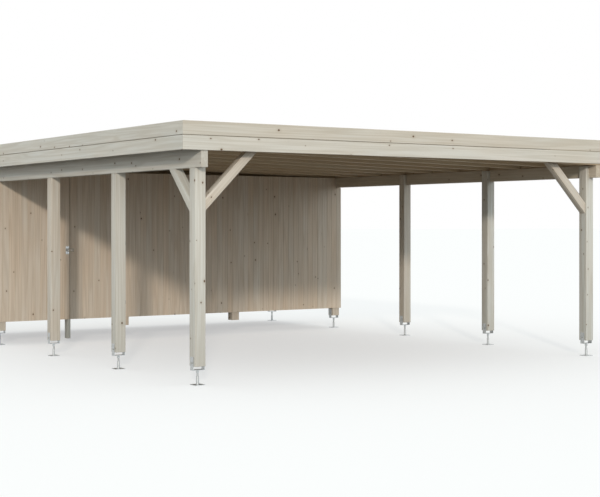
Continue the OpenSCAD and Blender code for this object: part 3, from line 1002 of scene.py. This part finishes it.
class CARPORT_OT_door_screws(bpy.types.Operator):
    """Screw the hinges and the hasp to the door and the wall"""

    bl_idname = "carport.door_screws"
    bl_label = "Door screws"

    def execute(self, context):
        radius = context.scene.carport_sizes.screw_r
        plate_t = 0.003
        from_edge = 0.01
        from_end, further = 0.012, 0.032
        pins_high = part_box("hinge_pins")[1]
        leaves_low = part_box("hinge_leaves")[0]
        staple_low, staple_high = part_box("hasp_staple")
        strap_low, strap_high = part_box("hasp_strap")
        leaf_face = pins_high.y - plate_t
        heights = [level + share * LEAF_H / 4 for level in self.hinge_levels() for share in (1, 3)]
        on_frame = [Vector((pins_high.x - from_edge, leaf_face, height)) for height in heights]
        on_door = [Vector((leaves_low.x + from_edge, leaf_face, height + LEAF_H)) for height in heights]
        middle_x = (staple_low.x + staple_high.x) / 2
        for height in (staple_low.z + from_end, staple_high.z - from_end):
            on_frame.append(Vector((middle_x, staple_high.y - plate_t, height)))
        middle_z = (strap_low.z + strap_high.z) / 2
        for reach in (from_end, further):
            on_door.append(Vector((strap_high.x - reach, strap_low.y, middle_z)))
        steel = plated_steel(context)
        for name, body, places in (("wall_screws", "frame", on_frame), ("door_screws", "door", on_door)):
            screws = copies(screw_head(radius, Y, -1), name, places)
            seat(screws, body, steel, "zinc")
        return {"FINISHED"}

    def hinge_levels(self):
        """Lower ends of the three hinges."""
        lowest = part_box("hinge_pins")[0].z
        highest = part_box("hinge_leaves")[1].z - 2 * LEAF_H
        door_low, door_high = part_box("door_boards")
        return lowest, (door_low.z + door_high.z) / 2, highest


class CARPORT_OT_timber_screws(bpy.types.Operator):
    """Screw the fascia boards to the roof"""

    bl_idname = "carport.timber_screws"
    bl_label = "Timber screws"

    def execute(self, context):
        smaller, sunk_share = 0.8, 0.61
        radius = context.scene.carport_sizes.screw_r * smaller
        # The heads end just inside the frame's box, and the boards a little further in
        sunk = radius * sunk_share
        spacing = 0.6
        inset = 0.03
        groups = []
        for board in ("upper", "lower"):
            for node, axis, along in ((f"end_{board}_fascia", Y, X), (f"side_{board}_fascia", X, Y)):
                low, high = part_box(node)
                length = high[along] - low[along]
                count = round(length / spacing)
                step = (length - 4 * inset) / count
                for side, face in ((-1, low[axis] + sunk), (1, high[axis] - sunk)):
                    places = []
                    for n in range(count + 1):
                        for level in (low.z + inset, high.z - inset):
                            place = Vector((0, 0, level))
                            place[axis] = face
                            place[along] = low[along] + 2 * inset + n * step
                            places.append(place)
                    groups.append(copies(screw_head(radius, axis, side), "fascia_screws", places))
        screws = gather("fascia_screws", groups)
        seat(screws, "frame", plated_steel(context), "zinc")
        return {"FINISHED"}


class CARPORT_OT_stage(bpy.types.Operator):
    """Set up the pale floor, the soft light and the camera"""

    bl_idname = "carport.stage"
    bl_label = "Stage"

    def execute(self, context):
        stage = context.scene.carport_stage
        self.lay_floor(stage)
        self.light_all_round(context, stage)
        self.hang_lamp("key_lamp", stage.key, stage.key_spread, stage.key_tint, KEY_FROM)
        self.hang_lamp("fill_lamp", stage.fill, stage.fill_spread, stage.fill_tint, FILL_FROM)
        self.stand_camera(context)
        context.scene.view_settings.view_transform = "Standard"
        return {"FINISHED"}

    def lay_floor(self, stage):
        """A wide level floor under the feet."""
        wide = 600
        bpy.ops.object.select_all(action="DESELECT")
        bpy.ops.mesh.primitive_plane_add(size=wide, location=(0, 0, 0))
        floor = bpy.context.object
        floor.name = "floor"
        floor.data.materials.append(pale_floor("pale_floor", stage.floor_pale, stage.floor_bounce))

    def light_all_round(self, context, stage):
        """An even surround: white to the camera and in gloss, and a little cooler as light."""
        world = bpy.data.worlds.new("studio")
        context.scene.world = world
        world.use_nodes = True
        direct = seen_directly(world, add_node(world, "LightPath").outputs)
        colour = blend_colours(world, direct, stage.sky_tint, (1, 1, 1))
        set_inputs(world, world.node_tree.nodes["Background"], {"Color": colour, "Strength": stage.sky})

    def hang_lamp(self, name, strength, spread, tint, towards):
        """A broad lamp far off in one direction."""
        lamp = bpy.data.lights.new(name, "SUN")
        lamp.energy = strength
        lamp.angle = spread
        lamp.color = tint
        holder = bpy.data.objects.new(name, lamp)
        bpy.context.collection.objects.link(holder)
        holder.rotation_euler = Vector(towards).to_track_quat("Z", "Y").to_euler()

    def stand_camera(self, context):
        """A level camera where the photograph's stood."""
        camera = bpy.data.cameras.new("camera")
        holder = bpy.data.objects.new("camera", camera)
        bpy.context.collection.objects.link(holder)
        holder.location = CAMERA_PLACE
        holder.rotation_euler = (math.pi / 2, 0, -math.radians(CAMERA_TURN))
        camera.lens = FOCAL_PX * camera.sensor_width / PHOTO_W
        camera.shift_x = (PHOTO_W / 2 - AXIS_PX[0]) / PHOTO_W
        camera.shift_y = (AXIS_PX[1] - PHOTO_H / 2) / PHOTO_W
        camera.clip_end = 1000
        context.scene.camera = holder


STEPS = (
    CARPORT_OT_timber_frame,
    CARPORT_OT_fascia_boards,
    CARPORT_OT_steel_fittings,
    CARPORT_OT_wall_boards,
    CARPORT_OT_roof_boards,
    CARPORT_OT_rafter_blocking,
    CARPORT_OT_roof_felt,
    CARPORT_OT_foot_bolts,
    CARPORT_OT_spindle_threads,
    CARPORT_OT_tube_welds,
    CARPORT_OT_door_screws,
    CARPORT_OT_timber_screws,
    CARPORT_OT_stage,
)


class CARPORT_PT_looks(bpy.types.Panel):
    """Steps that dress the carport"""

    bl_label = "Carport"
    bl_idname = "CARPORT_PT_looks"
    bl_space_type = "VIEW_3D"
    bl_region_type = "UI"
    bl_category = "Carport"

    def draw(self, context):
        for step in STEPS:
            self.layout.operator(step.bl_idname)
        for name in GROUPS:
            group = getattr(context.scene, name)
            box = self.layout.box()
            for field in group.__annotations__:
                box.prop(group, field)


GROUPS = {"carport_sizes": CarportSizes, "carport_colours": CarportColours, "carport_stage": CarportStage}


def register():
    for name, group in GROUPS.items():
        bpy.utils.register_class(group)
        setattr(bpy.types.Scene, name, PointerProperty(type=group))
    for step in STEPS:
        bpy.utils.register_class(step)
    bpy.utils.register_class(CARPORT_PT_looks)


def unregister():
    bpy.utils.unregister_class(CARPORT_PT_looks)
    for step in reversed(STEPS):
        bpy.utils.unregister_class(step)
    for name, group in GROUPS.items():
        delattr(bpy.types.Scene, name)
        bpy.utils.unregister_class(group)


def main():
    """Dresses the frame step by step."""
    register()
    for step in STEPS:
        getattr(bpy.ops.carport, step.bl_idname.split(".")[1])()


if __name__ == "__main__":
    main()
